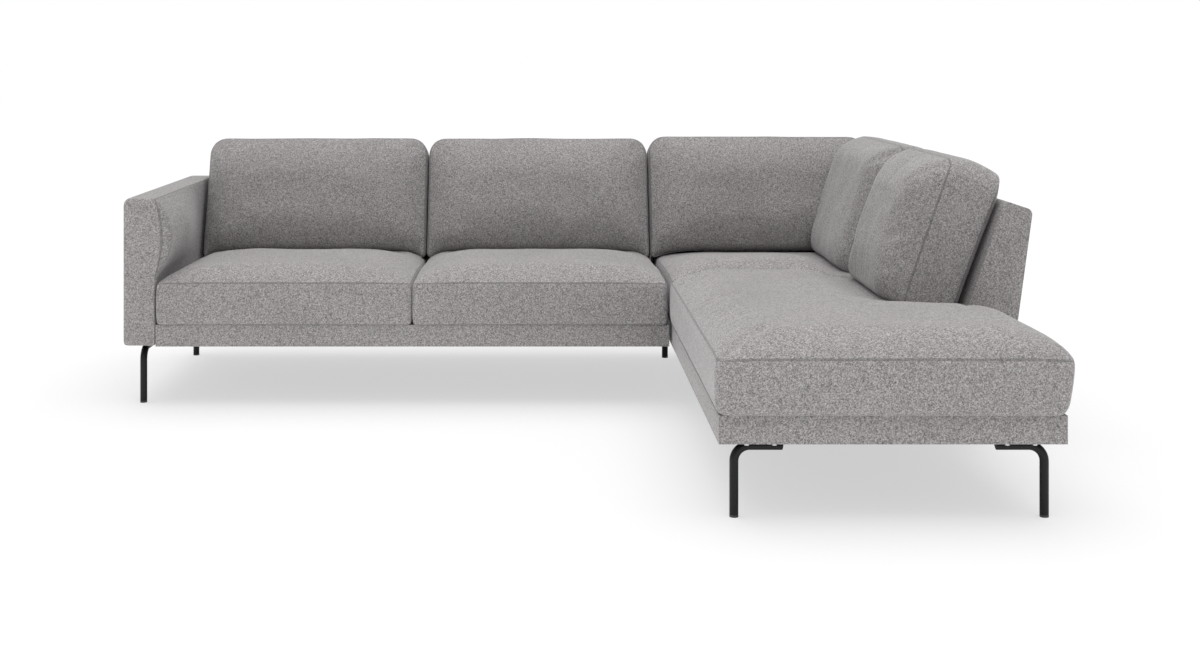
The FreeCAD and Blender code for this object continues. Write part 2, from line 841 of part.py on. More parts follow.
def leg_pipe(radius, reach):
    """A bar along the leg's bent centre line, from the glide's seat to the arm's tip."""
    height = leg_height - leg_plate_thickness - tube_diameter / 2 + leg_weld_depth
    bend = height - bend_radius
    corner = bend_radius * math.sqrt(0.5)
    path = Part.Wire([
        Part.LineSegment(at(0, 0, glide_height), at(0, 0, bend)).toShape(),
        Part.Arc(at(0, 0, bend), at(bend_radius - corner, 0, bend + corner),
                 at(bend_radius, 0, height)).toShape(),
        Part.LineSegment(at(bend_radius, 0, height), at(reach, 0, height)).toShape(),
    ])
    ring = Part.Wire(Part.makeCircle(radius, at(0, 0, glide_height), at(0, 0, 1)))
    return path.makePipeShell([ring], True, False)


def leg():
    """Bent tube with a mounting plate welded on, in its own frame."""
    outer = leg_pipe(tube_diameter / 2, leg_reach + tube_diameter)
    bore = leg_pipe(tube_diameter / 2 - tube_wall, leg_reach - leg_slant - 2 * tube_wall)
    half = leg_plate_width / 2
    plate = block(-leg_plate_back, leg_reach, -half, half, leg_height - leg_plate_thickness, leg_height)
    holes = [Part.makeCylinder(bolt_diameter / 2 + hole_clearance, base_height,
                               at(x, y, leg_height - base_height / 2)) for x, y in bolt_spots()]
    bottom = leg_height - leg_plate_thickness - tube_diameter
    slant = row_prism([(leg_reach, leg_height + fit), (leg_reach - leg_slant, bottom - fit),
                       (leg_reach + 2 * tube_diameter, bottom - fit),
                       (leg_reach + 2 * tube_diameter, leg_height + fit)], -half, half)
    slant = placed(slant, at(0, 0, 0), at(0, 0, 1), -90.0)
    return fused([outer.cut(slant), plate]).cut(bore).cut(Part.makeCompound(holes))


def glide():
    """Plastic glide: a disc on the floor with a plug inside the tube."""
    disc = Part.makeCylinder(tube_diameter / 2, glide_height)
    plug = Part.makeCylinder(tube_diameter / 2 - tube_wall - fit, glide_plug, at(0, 0, glide_height))
    return fused([disc, plug])


def leg_bolt():
    """A bolt with its head under the leg's plate."""
    head = Part.makeCylinder(bolt_head_diameter / 2, bolt_head_height,
                             at(0, 0, leg_height - leg_plate_thickness - bolt_head_height))
    shank = Part.makeCylinder(bolt_diameter / 2, bolt_length,
                              at(0, 0, leg_height - leg_plate_thickness))
    return fused([head, shank])


def legs():
    one_leg, one_glide, one_bolt = leg(), glide(), leg_bolt()
    bolts = []
    for place in leg_places():
        name = place[0]
        save(name, at_leg(one_leg, place))
        save(name + "_glide", at_leg(one_glide, place))
        bolts += [at_leg(placed(one_bolt, at(x, y, 0)), place) for x, y in bolt_spots()]
    save("leg_bolts", Part.makeCompound(bolts))


# Connectors: a hook on the left section hangs on a strap of the corner section

def connector_places():
    return [front_y + connector_front, front_y + base_depth - connector_rear - connector_width]


def connector_screw_spots():
    """Screw centres of one connector plate, as distances along it and up it."""
    edge = screw_head_diameter
    return [(edge, edge), (connector_width - edge, edge)]


def connector_screw_rods():
    """Rods to cut the pilot holes of the connector screws with."""
    radius = screw_diameter / 2 + hole_clearance / 2
    rods = []
    for y in connector_places():
        for along, up in connector_screw_spots():
            start = at(section_x - screw_length, y + along, leg_height + connector_lift + up)
            rods.append(Part.makeCylinder(radius, 2 * screw_length + section_gap, start, at(1, 0, 0)))
    return Part.makeCompound(rods)


def connectors():
    """Hook plates, strap plates and their screws, at the front and the rear of the joint."""
    low = leg_height + connector_lift
    top = low + connector_height
    rim = connector_width / 10
    strap_low = low + connector_height * 0.5
    strap_top = top - strap_thickness * 2
    hooks, straps, screws = [], [], []
    strap_x = section_x + plate_thickness + fit
    tongue_x = strap_x + strap_thickness + fit
    wall_x = chaise_x - plate_thickness
    for y in connector_places():
        end = y + connector_width
        hook = [block(section_x, section_x + plate_thickness, y, end, low, top),
                block(section_x, wall_x - fit, y + rim + fit, end - rim - fit,
                      strap_top + fit, top),
                block(tongue_x, wall_x - fit, y + rim + fit, end - rim - fit,
                      strap_low - strap_thickness, top)]
        strap = [block(wall_x, chaise_x, y, end, low, top),
                 block(strap_x, strap_x + strap_thickness, y, end, strap_low, strap_top),
                 block(strap_x, wall_x, y, y + rim, strap_low, strap_top),
                 block(strap_x, wall_x, end - rim, end, strap_low, strap_top)]
        hooks.append(fused(hook))
        straps.append(fused(strap))
        for along, up in connector_screw_spots():
            for face, way in ((section_x + plate_thickness, -1.0), (wall_x, 1.0)):
                centre = at(face, y + along, low + up)
                axis = at(way, 0, 0)
                head = Part.makeCylinder(screw_head_diameter / 2, screw_head_height,
                                         centre.sub(axis * screw_head_height), axis)
                shank = Part.makeCylinder(screw_diameter / 2, screw_length, centre, axis)
                screws.append(fused([head, shank]))
    rods = connector_screw_rods()
    save("connector_hooks", Part.makeCompound(hooks).cut(rods))
    save("connector_straps", Part.makeCompound(straps).cut(rods))
    save("connector_screws", Part.makeCompound(screws))


os.makedirs("parts", exist_ok=True)
left_base()
chaise_base()
arm()
left_back()
corner_back()
side_back()
seat_cushions()
back_cushions()
legs()
connectors()
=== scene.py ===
"""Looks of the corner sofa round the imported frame: cloth, cushions, legs, stage and camera."""

import logging
import math
from dataclasses import dataclass
from enum import Enum
from typing import Any, Callable, Sequence

import bmesh
import bpy
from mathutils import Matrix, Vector, noise


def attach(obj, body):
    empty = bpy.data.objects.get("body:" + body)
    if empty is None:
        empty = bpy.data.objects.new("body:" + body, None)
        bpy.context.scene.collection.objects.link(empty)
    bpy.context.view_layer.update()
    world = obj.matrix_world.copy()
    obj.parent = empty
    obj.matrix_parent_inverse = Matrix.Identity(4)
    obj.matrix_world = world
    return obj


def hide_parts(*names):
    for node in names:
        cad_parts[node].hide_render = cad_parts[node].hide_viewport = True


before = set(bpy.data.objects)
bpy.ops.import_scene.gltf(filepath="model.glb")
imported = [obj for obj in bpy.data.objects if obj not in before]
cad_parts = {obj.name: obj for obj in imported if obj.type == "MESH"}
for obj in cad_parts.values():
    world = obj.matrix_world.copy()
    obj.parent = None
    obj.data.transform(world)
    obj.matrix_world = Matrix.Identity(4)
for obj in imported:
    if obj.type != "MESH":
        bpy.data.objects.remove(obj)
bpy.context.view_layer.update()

logging.basicConfig(level=logging.INFO, format="%(message)s")
log = logging.getLogger("sofa")

SOFA = "sofa"


# Sizes shared by the pieces, in metres

DECK = 0.272  # top of the bases
FRONT_Y = 0.127  # front of the left section
CHAISE_X = 0.409  # inner side of the corner section
SEAT_DEPTH = 0.773  # from a section's front to the foot of its back
LEAN = math.radians(19.0)  # lean of the backs
FOOT = 0.4325  # underside of the back cushions
REAR_ROW_DEPTH = 0.215  # from a back to the front of its rear row cushions
SIDE_ROW_DEPTH = 0.2405  # from the side back to the front of its cushions
PRESS_EASE = 0.09  # width over which a seat eases down under a back cushion

# Tolerances, in metres

SAME = 1e-6
NEAR = 1e-5
TINY = 1e-9


def eased(share: float) -> float:
    """A smooth step from 0 to 1 as share goes from 0 to 1."""
    share = min(1.0, max(0.0, share))
    return share * share * (3.0 - 2.0 * share)


def crown(distance: float, reach: float, power: float = 2.2) -> float:
    """Share of a crown's full height at a distance in from its seam.

    Args:
        distance: How far in from the seam.
        reach: Distance at which the crown is full.
        power: How steeply it starts.

    Returns:
        The share, from 0 at the seam to 1.
    """
    return 1.0 - (1.0 - min(1.0, max(0.0, distance) / reach)) ** power


def lean_depth(stand_off: float, height: float) -> float:
    """Depth, from a row's front, of a plane in front of the leaning back.

    Args:
        stand_off: Distance of the plane from the back's inner face.
        height: Height above the floor.

    Returns:
        The depth in metres.
    """
    return SEAT_DEPTH + (height - DECK) * math.tan(LEAN) - stand_off / math.cos(LEAN)


# Shader maths


class Signal:
    """One socket of a material's nodes, so that shader maths reads as an expression."""

    def __init__(self, web: "Web", socket: bpy.types.NodeSocket) -> None:
        """Wraps a socket of a web of nodes."""
        self.web = web
        self.socket = socket

    def maths(self, operation: str, *others: Any) -> "Signal":
        """A Math node on this signal and the others, in that order."""
        return self.web.add("ShaderNodeMath", {"operation": operation}, *((self,) + others))

    def __add__(self, other: Any) -> "Signal":
        """This plus other."""
        return self.maths("ADD", other)

    __radd__ = __add__

    def __mul__(self, other: Any) -> "Signal":
        """This times other."""
        return self.maths("MULTIPLY", other)

    __rmul__ = __mul__

    def __sub__(self, other: Any) -> "Signal":
        """This minus other."""
        return self.maths("SUBTRACT", other)

    def __rsub__(self, other: Any) -> "Signal":
        """Other minus this."""
        return self.web.add("ShaderNodeMath", {"operation": "SUBTRACT"}, other, self)

    def clamped(self) -> "Signal":
        """This, kept between 0 and 1."""
        return self.web.add("ShaderNodeClamp", {}, self)


class Web:
    """The nodes of one material."""

    def __init__(self, name: str) -> None:
        """Starts a material with a principled shader and an output."""
        self.material = bpy.data.materials.new(name)
        self.material.use_nodes = True
        self.nodes = self.material.node_tree.nodes
        self.links = self.material.node_tree.links
        self.nodes.clear()
        self.shader = self.nodes.new("ShaderNodeBsdfPrincipled")
        self.output = self.nodes.new("ShaderNodeOutputMaterial")
        self.links.new(self.shader.outputs["BSDF"], self.output.inputs["Surface"])

    def plug(self, value: Any, socket: bpy.types.NodeSocket) -> None:
        """Links a signal to a socket, or sets the socket's value."""
        if isinstance(value, Signal):
            self.links.new(value.socket, socket)
        else:
            socket.default_value = value

    def add(self, kind: str, settings: dict[str, Any], *values: Any, out: Any = 0,
            **named: Any) -> Signal:
        """Adds a node.

        Args:
            kind: The node's type.
            settings: Its settings, set first; stops are a ramp's positions and colours.
            values: Values or signals for its first sockets, in order.
            out: Name or number of the output to return.
            named: Values or signals for sockets by name, with _ for a space.

        Returns:
            The signal of the chosen output.
        """
        node = self.nodes.new(kind)
        for key, value in settings.items():
            if key == "stops":
                ramp = node.color_ramp
                while len(ramp.elements) < len(value):
                    ramp.elements.new(0.5)
                for element, (position, colour) in zip(ramp.elements, value):
                    element.position, element.color = position, (*colour, 1.0)
            else:
                setattr(node, key, value)
        for value, socket in zip(values, node.inputs):
            self.plug(value, socket)
        for key, value in named.items():
            self.plug(value, node.inputs[key.replace("_", " ")])
        return Signal(self, node.outputs[out])

    def place(self) -> Signal:
        """The piece's own coordinates, in metres."""
        return self.add("ShaderNodeTexCoord", {}, out="Object")

    def scaled(self, place: Signal, scale: Sequence[float]) -> Signal:
        """Coordinates stretched by a scale for each axis."""
        return self.add("ShaderNodeMapping", {}, place, Scale=scale)

    def noise(self, place: Signal, scale: float, detail: float = 2.0,
              rough: float = 0.5) -> Signal:
        """Soft noise from 0 to 1."""
        return self.add("ShaderNodeTexNoise", {}, place, Scale=scale, Detail=detail,
                        Roughness=rough, out="Fac")

    def cells(self, place: Signal, pitch: float, out: str, **named: Any) -> Signal:
        """Cells of a pitch in metres: their Color, or the Distance from their middles."""
        return self.add("ShaderNodeTexVoronoi", {}, place, Scale=1.0 / pitch, out=out, **named)

    def blend(self, share: Any, first: Any, second: Any) -> Signal:
        """A colour between two colours."""
        node = self.nodes.new("ShaderNodeMix")
        node.data_type = "RGBA"
        sockets = (node.inputs[0], node.inputs[6], node.inputs[7])
        for value, socket in zip((share, first, second), sockets):
            self.plug((*value, 1.0) if isinstance(value, tuple) else value, socket)
        return Signal(self, node.outputs[2])

    def bump(self, height: Signal, depth: float, strength: float = 1.0) -> None:
        """Feeds a height, in metres at a height of 1, to the shader's normal."""
        self.plug(self.add("ShaderNodeBump", {}, Height=height, Distance=depth, Strength=strength),
                  self.shader.inputs["Normal"])

    def set(self, **values: Any) -> None:
        """Sets or links the principled shader's own sockets."""
        for key, value in values.items():
            value = (*value, 1.0) if isinstance(value, tuple) and len(value) == 3 else value
            self.plug(value, self.shader.inputs[key.replace("_", " ")])


@dataclass(frozen=True)
class Finish:
    """A material of the sofa."""

    name: str
    colour: tuple[float, float, float]

    def weave(self, web: Web) -> None:
        """Fills in the nodes."""
        web.set(Base_Color=self.colour)

    def material(self) -> bpy.types.Material:
        """The finish's material, made once."""
        found = bpy.data.materials.get(self.name)
        if found:
            return found
        web = Web(self.name)
        self.weave(web)
        return web.material


@dataclass(frozen=True)
class WovenFabric(Finish):
    """Upholstery cloth of thick mottled yarns, light and dark."""

    dark: tuple[float, float, float] = (0.09, 0.084, 0.084)
    light: tuple[float, float, float] = (0.47, 0.452, 0.449)
    yarn: float = 0.002
    relief: float = 0.0006
    fleck: float = 1.65
    contrast: float = 1.2
    sheen: float = 0.28
    sheen_rough: float = 0.34

    def weave(self, web: Web) -> None:
        """Short lengths of light and dark yarn that cross, with a soft nap."""
        place = web.place()
        tones, edges = [], []
        for stretch in ((0.6, 0.6, 1.0), (1.0, 1.0, 0.55)):
            cloth = web.scaled(place, stretch)
            spot = web.cells(cloth, self.yarn, "Color", Randomness=0.7)
            edges.append(web.cells(cloth, self.yarn, "Distance", Randomness=0.7))
            tones.append(web.add("ShaderNodeSeparateColor", {}, spot, out="Red"))
        tone = tones[0] * 0.5 + tones[1] * 0.5
        height = 1.0 - (edges[0] * 0.6 + edges[1] * 0.6)
        mottle = web.noise(place, 260.0, 2.0, 0.6)
        fleck = (tone - 0.5) * self.fleck + (mottle - 0.5) * 0.2
        lit = web.blend((fleck * self.contrast).clamped(), self.colour, self.light)
        dull = web.blend((fleck * -self.contrast).clamped(), lit, self.dark)
        wear = web.noise(place, 3.0, 2.0, 0.5)
        web.set(Base_Color=web.blend((wear - 0.45).clamped() * 0.35, dull, self.dark),
                Roughness=0.86 + 0.1 * mottle, Specular_IOR_Level=0.2,
                Sheen_Weight=self.sheen, Sheen_Roughness=self.sheen_rough)
        web.bump(height + mottle * 0.6, self.relief, 0.7)


@dataclass(frozen=True)
class PowderCoat(Finish):
    """Satin powder coat with a fine orange peel."""

    def weave(self, web: Web) -> None:
        """A fine even grain with slight wear."""
        place = web.place()
        peel = web.noise(place, 900.0, 2.0, 0.6)
        cloud = web.noise(place, 14.0, 3.0, 0.5)
        web.set(Base_Color=web.blend(cloud * 0.5, self.colour, (0.014, 0.014, 0.015)),
                Roughness=0.34 + 0.12 * cloud, Specular_IOR_Level=0.2)
        web.bump(peel, 0.00004, 0.5)


@dataclass(frozen=True)
class Moulded(Finish):
    """Matte moulded plastic."""

    def weave(self, web: Web) -> None:
        """Spark texture with scuffs."""
        place = web.place()
        spark = web.noise(place, 2600.0, 2.0, 0.6)
        scuff = web.noise(web.scaled(place, (40.0, 40.0, 8.0)), 6.0, 4.0, 0.6)
        web.set(Base_Color=web.blend((scuff - 0.4).clamped(), self.colour, (0.12, 0.12, 0.12)),
                Roughness=0.5 + 0.2 * scuff)
        web.bump(spark, 0.00003, 0.6)


@dataclass(frozen=True)
class Metal(Finish):
    """Plated or drawn steel."""

    rough: float = 0.32

    def weave(self, web: Web) -> None:
        """Cloudy plating with fine drawing marks."""
        place = web.place()
        cloud = web.noise(place, 60.0, 3.0, 0.6)
        marks = web.noise(web.scaled(place, (1.0, 1.0, 30.0)), 180.0, 2.0, 0.5)
        web.set(Base_Color=web.blend(cloud * 0.6, self.colour, (0.36, 0.36, 0.37)), Metallic=1.0,
                Roughness=self.rough + 0.15 * cloud)
        web.bump(marks, 0.00003, 0.4)


@dataclass(frozen=True)
class SawnTimber(Finish):
    """Unfinished softwood boards."""

    def weave(self, web: Web) -> None:
        """Growth rings cut along the board, and saw marks."""
        place = web.place()
        rings = web.add("ShaderNodeTexWave", {"bands_direction": "Z", "wave_profile": "SIN"}, place,
                        Scale=28.0, Distortion=7.0, Detail=3.0, Detail_Scale=0.6, out="Fac")
        fibre = web.noise(web.scaled(place, (6.0, 6.0, 90.0)), 9.0, 4.0, 0.6)
        web.set(Base_Color=web.blend(rings * 0.6 + fibre * 0.3, self.colour, (0.34, 0.2, 0.09)),
                Roughness=0.65 + 0.2 * fibre)
        web.bump(fibre + rings * 0.4, 0.0004, 0.6)


@dataclass(frozen=True)
class Foam(Finish):
    """Open-cell upholstery foam or loose filling."""

    pore: float = 1.0 / 700.0

    def weave(self, web: Web) -> None:
        """Fine open cells."""
        place = web.place()
        cell = web.cells(place, self.pore, "Distance")
        cloud = web.noise(place, 12.0, 2.0, 0.5)
        web.set(Base_Color=web.blend(cell * 0.7, self.colour, (0.72, 0.6, 0.34)),
                Roughness=0.85 + 0.1 * cloud)
        web.bump(cell, 0.0006, 0.8)


@dataclass(frozen=True)
class Strapping(Finish):
    """Black non-woven cloth or elastic webbing."""

    pitch: float = 0.0022

    def weave(self, web: Web) -> None:
        """Fine crossed threads."""
        place = web.place()
        threads = web.cells(place, self.pitch, "Distance")
        cloud = web.noise(place, 20.0, 3.0, 0.6)
        web.set(Base_Color=web.blend(threads * 0.5 + cloud * 0.3, self.colour, (0.09, 0.09, 0.095)),
                Roughness=0.8 + 0.15 * cloud)
        web.bump(threads, 0.0003, 0.7)


FABRIC = WovenFabric("grey_woven_fabric", (0.262, 0.249, 0.249))
# Seam lines: a darker copy of the fabric, painted shade of the sunk seam groove.
SEAM_SHADE = WovenFabric("seam_shade_fabric", (0.18, 0.171, 0.171), (0.08, 0.076, 0.076),
                   (0.28, 0.268, 0.268))
BLACK_STEEL = PowderCoat("satin_black_steel", (0.006, 0.006, 0.0065))
GLIDE = Moulded("black_glide", (0.02, 0.02, 0.02))
ZINC = Metal("zinc_plate", (0.62, 0.62, 0.64))
WIRE = Metal("spring_wire", (0.45, 0.45, 0.46), 0.4)
CLIP = Moulded("clip_nylon", (0.72, 0.72, 0.68))
TIMBER = SawnTimber("sawn_timber", (0.62, 0.45, 0.27))
FOAM = Foam("pale_foam", (0.85, 0.79, 0.6))
DUST_CLOTH = Strapping("dust_cloth", (0.022, 0.022, 0.023))
WEBBING = Strapping("elastic_webbing", (0.035, 0.035, 0.04), 0.0035)


# Making pieces


def box_grid(low: Vector, high: Vector, cell: float) -> bmesh.types.BMesh:
    """A closed box whose faces are even grids.

    Args:
        low: Its lowest corner.
        high: Its highest corner.
        cell: The wanted size of a cell.

    Returns:
        The box.
    """
    box = bmesh.new()
    bmesh.ops.create_cube(box, size=1.0)
    size = high - low
    bmesh.ops.translate(box, vec=Vector((0.5, 0.5, 0.5)), verts=box.verts)
    bmesh.ops.scale(box, vec=size, verts=box.verts)
    bmesh.ops.translate(box, vec=low, verts=box.verts)
    for axis in range(3):
        across = [e for e in box.edges
                  if abs((e.verts[1].co - e.verts[0].co)[axis]) > size[axis] / 2]
        cuts = max(1, round(size[axis] / cell) - 1)
        bmesh.ops.subdivide_edges(box, edges=across, cuts=cuts, use_grid_fill=True)
    return box


CORNER_REACH = 3.5  # how far a rounded corner bends the grid, in radii


def rounded(u: float, v: float, radius: float) -> tuple[float, float]:
    """Where a point near a square corner goes when the corner is rounded.

    Args:
        u: Distance in from one side.
        v: Distance in from the other side.
        radius: The corner's radius.

    Returns:
        The new distances from the two sides.
    """
    inset = min(u, v)
    bend = radius * max(0.0, 1.0 - inset / (CORNER_REACH * radius))
    along = abs(u - v)
    if along >= bend or bend <= 0.0:
        return u, v
    angle = math.pi / 4 * (1.0 - along / bend)
    near = inset + bend * (1.0 - math.cos(angle))
    far = inset + bend * (1.0 - math.sin(angle))
    return (near, far) if u < v else (far, near)


def soften(box: bmesh.types.BMesh, verts: list[bmesh.types.BMVert], rounds: int) -> None:
    """Eases the shape round the given points by smoothing them a number of times."""
    for _ in range(rounds):
        bmesh.ops.smooth_vert(box, verts=verts, factor=0.5, use_axis_x=True, use_axis_y=True,
                              use_axis_z=True)


SETTLE_FRAMES = 14


def settle(box: bmesh.types.BMesh, held: set[bmesh.types.BMVert], cap: float,
           spare: float = 0.006) -> None:
    """Inflates a closed cover as cloth, so that it fills and puckers between its held points.

    Args:
        box: The cover; its points take the places that the cloth finds.
        held: The points that stay where they are.
        cap: The furthest that a point may move.
        spare: Share by which the cloth is larger than the cover.
    """
    box.verts.index_update()
    mesh = bpy.data.meshes.new("cloth")
    box.to_mesh(mesh)
    sheet = bpy.data.objects.new("cloth", mesh)
    scene = bpy.context.scene
    scene.collection.objects.link(sheet)
    sheet.vertex_groups.new(name="held").add([v.index for v in held], 1.0, "REPLACE")
    cloth = sheet.modifiers.new("cloth", "CLOTH")
    settings = cloth.settings
    settings.quality, settings.mass, settings.vertex_group_mass = 5, 0.3, "held"
    settings.tension_stiffness, settings.compression_stiffness = 15.0, 15.0
    settings.shear_stiffness, settings.bending_stiffness = 5.0, 0.8
    settings.use_pressure, settings.uniform_pressure_force = True, 4.0
    settings.shrink_min, settings.effector_weights.gravity = -spare, 0.0
    touch = cloth.collision_settings
    touch.use_collision = touch.use_self_collision = False
    cloth.point_cache.frame_start, cloth.point_cache.frame_end = 1, SETTLE_FRAMES
    for number in range(1, SETTLE_FRAMES + 1):
        scene.frame_set(number)
    found = sheet.evaluated_get(bpy.context.evaluated_depsgraph_get()).data
    for vert, place in zip(box.verts, found.vertices):
        move = place.co - vert.co
        vert.co += move * min(1.0, cap / max(move.length, TINY))
    scene.frame_set(1)
    bpy.data.objects.remove(sheet)


def sew(box: bmesh.types.BMesh, seam: list[bmesh.types.BMEdge], width: float = 0.0018,
        depth: float = 0.0009) -> None:
    """Sinks a thin sewn line along the given edges, painted as seam shade in the second material.

    Args:
        box: The mesh.
        seam: The seam's edges.
        width: Width of the line.
        depth: How far its middle sinks.
    """
    bmesh.ops.recalc_face_normals(box, faces=box.faces)
    cut = bmesh.ops.bevel(box, geom=seam, offset=width / 2, offset_type="OFFSET", affect="EDGES",
                          segments=2, profile=0.5, material=-1, loop_slide=True)
    strip = set(cut["faces"])
    box.normal_update()
    for vert in {v for face in strip for v in face.verts}:
        if all(face in strip for face in vert.link_faces):
            vert.co -= vert.normal * depth
    for face in strip:
        # The strip takes the darker fabric, painted shade in the groove.
        face.material_index = 1


def finish_mesh(box: bmesh.types.BMesh, name: str) -> bpy.types.Object:
    """Turns a mesh into an object of the scene, with smooth faces that point outwards."""
    bmesh.ops.recalc_face_normals(box, faces=box.faces)
    for face in box.faces:
        face.smooth = True
    mesh = bpy.data.meshes.new(name)
    box.to_mesh(mesh)
    box.free()
    piece = bpy.data.objects.new(name, mesh)
    bpy.context.scene.collection.objects.link(piece)
    return piece


def dress(piece: bpy.types.Object, body: str, *nodes: str, fill: float) -> None:
    """Gives an upholstered piece its cloth and body, and hides the CAD nodes that it stands for.

    Args:
        piece: The piece, whose sewn seams have material index 1, the darker fabric of painted seam
            shade.
        body: The body that it rides on.
        nodes: The CAD nodes that it replaces.
        fill: How full its padding is; not used.
    """
    piece.data.materials.append(FABRIC.material())
    if any(face.material_index for face in piece.data.polygons):
        # Second material: the darker fabric, painted shade along the seams.
        piece.data.materials.append(SEAM_SHADE.material())
    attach(piece, body)
    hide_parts(*nodes)
    log.info("%s: %d faces", piece.name, len(piece.data.polygons))


def subdivided(piece: bpy.types.Object) -> None:
    """Adds one subdivision that shows the same in renders and exports."""
    smooth = piece.modifiers.new("smooth", "SUBSURF")
    smooth.levels = smooth.render_levels = 1


def ripple(place: Vector, seed: float, size: float) -> float:
    """Smooth noise from about -1 to 1, for wrinkles and hollows."""
    return noise.noise(place / size + Vector((seed, -seed * 0.7, seed * 1.3)))


# Seat cushions


@dataclass
class SeatCushion:
    """A crowned seat cushion that the back cushions press down at its rear."""

    name: str
    low_x: float
    high_x: float
    low_y: float
    high_y: float
    rise: float = 0.044
    seam: float = 0.4125
    base: float = 0.2725
    reach: float = 0.15
    side_reach: float = 0.3
    fullness: float = 0.66
    drop: float = 0.02
    sag: float = 0.0
    corner: float = 0.011
    tuck: float = 0.002
    draw: float = 0.001
    side_bow: float = 0.002
    front_roll: float = 0.004
    edge_fade: float = 0.06
    drop_from: float = 0.3
    drop_over: float = 0.35
    sag_from: float = 0.3
    sag_over: float = 0.45
    wrinkle: float = 0.0022
    pucker: float = 0.0012
    gap_below: float = 0.002
    move_cap: float = 0.008
    cell: float = 0.0125
    seed: float = 1.0
    rear_row: bool = True
    side_row: bool = False

    def pressed(self, x: float, y: float) -> float:
        """How far, from 0 to 1, a back cushion holds the seat down at a place."""
        held = 0.0
        if self.rear_row:
            front = lean_depth(REAR_ROW_DEPTH, FOOT)
            held = max(held, eased((y - FRONT_Y - front + PRESS_EASE) / PRESS_EASE))
        if self.side_row:
            front = lean_depth(SIDE_ROW_DEPTH, FOOT)
            held = max(held, eased((x - CHAISE_X - front + PRESS_EASE) / PRESS_EASE))
        return held

    def sides(self, x: float, y: float) -> list[float]:
        """Distances in from each side."""
        return [x - self.low_x, self.high_x - x, y - self.low_y, self.high_y - y]

    def share(self, x: float, y: float) -> float:
        """Share of the full crown at a place."""
        left, right, front, rear = self.sides(x, y)
        return (crown(left, self.side_reach, 2.6) * crown(right, self.side_reach, 2.6)
                * crown(front, self.reach) * crown(rear, self.reach)) ** self.fullness

    def grid(self) -> bmesh.types.BMesh:
        """The plain box that the cushion is shaped from."""
        return box_grid(Vector((self.low_x, self.low_y, self.base)),
                        Vector((self.high_x, self.high_y, self.seam)), self.cell)

    def corners(self, x: float, y: float) -> tuple[float, float]:
        """The place of a point once the corners in plan are rounded."""
        middle_x, middle_y = (self.low_x + self.high_x) / 2, (self.low_y + self.high_y) / 2
        side_x, side_y = (1.0 if x < middle_x else -1.0), (1.0 if y < middle_y else -1.0)
        edge_x = self.low_x if side_x > 0 else self.high_x
        edge_y = self.low_y if side_y > 0 else self.high_y
        u, v = rounded((x - edge_x) * side_x, (y - edge_y) * side_y, self.corner)
        return edge_x + u * side_x, edge_y + v * side_y

    def shaped(self, place: Vector) -> Vector:
        """Where a point of the plain box goes."""
        x, y, z = place
        gaps = self.sides(x, y)
        up = (z - self.base) / (self.seam - self.base)
        top = up > 0.999
        push = self.tuck * max(0.0, 1.0 - up * 5.0) ** 2 - self.side_bow * math.sin(math.pi * up)
        span_x = (x - self.low_x) / (self.high_x - self.low_x)
        span_y = (y - self.low_y) / (self.high_y - self.low_y)
        pull = (self.draw * 4.0 * span_y * (1.0 - span_y),
                self.draw * 4.0 * span_x * (1.0 - span_x))
        new_x, new_y = self.corners(x, y)
        fade = [max(0.0, 1.0 - gap / self.edge_fade) for gap in gaps]
        new_x += (push + pull[0]) * (fade[0] - fade[1])
        new_y += (push + pull[1] + self.front_roll * up ** 6) * (fade[2] - fade[3])
        sunk = self.drop * eased((y - self.low_y - self.drop_from) / self.drop_over)
        z -= sunk * up
        if top:
            share = self.share(x, y)
            sag = self.sag * eased((y - self.sag_from) / self.sag_over)
            z += (self.rise + sunk - sag) * share
            z += self.wrinkle * ripple(Vector((x, y, 0.0)), self.seed, 0.14) * share
            under = FOOT - self.gap_below
            z = z + (under - z) * self.pressed(x, y) if z > under else z
        else:
            z += (self.pucker * ripple(Vector((x, y, z)), self.seed, 0.12)
                  * math.sin(math.pi * min(1.0, up)))
        return Vector((new_x, new_y, z))

    def build(self) -> bpy.types.Object:
        """Makes the cushion."""
        box = self.grid()
        top = self.seam - NEAR
        seam = [e for e in box.edges if all(v.co.z > top for v in e.verts)
                and any(all(abs(v.co.z - self.base) > SAME for v in f.verts)
                        and any(v.co.z < top for v in f.verts) for f in e.link_faces)]
        rim = {v for e in seam for v in e.verts}
        held = {v for v in box.verts if v.co.z < top or self.pressed(v.co.x, v.co.y) > 0.0} | rim
        for vert in box.verts:
            vert.co = self.shaped(vert.co.copy())
        soften(box, list(rim), 2)
        settle(box, held, self.move_cap)
        sew(box, seam)
        piece = finish_mesh(box, self.name)
        subdivided(piece)
        dress(piece, SOFA, self.name + "_cover", self.name + "_foam", fill=0.75)
        return piece


